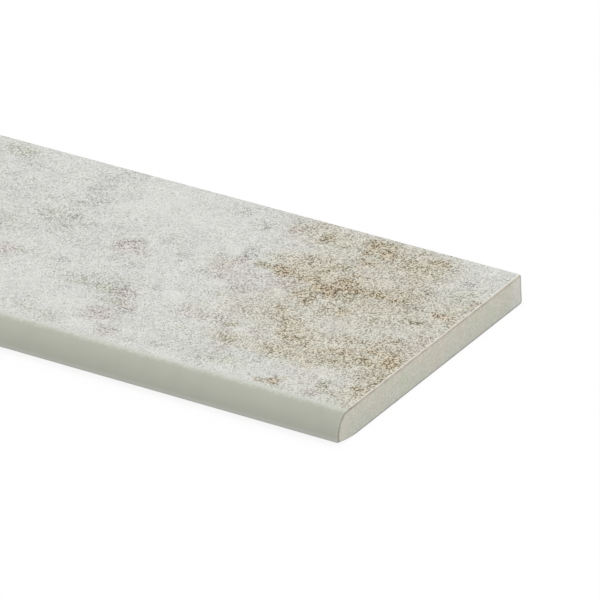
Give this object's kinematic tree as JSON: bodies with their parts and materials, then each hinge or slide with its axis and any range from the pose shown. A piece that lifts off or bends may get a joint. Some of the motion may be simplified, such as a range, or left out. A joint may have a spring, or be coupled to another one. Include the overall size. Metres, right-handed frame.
{
  "type": "bullnose tile",
  "caption": "Narrow glazed ceramic trim tile with one long edge rounded over to a bullnose, square ends and joint edge, and a keyed back for adhesive.",
  "frame": {"origin": "centre of the tile's outline, on the plane of its back", "axes": "+X along the tile's length, +Y from the rounded nose to the square joint edge, +Z from the back up to the printed face"},
  "size_m": [0.3, 0.075, 0.0075],
  "materials": {
    "glazed_ceramic": "matt stone-look print in pale grey with ochre stains on the face, plain grey-green glaze on the nose, bare pale ceramic on the ends, joint edge and back"
  },
  "bodies": {
    "root": {"bullnose_tile": "glazed_ceramic"}
  },
  "joints": []
}
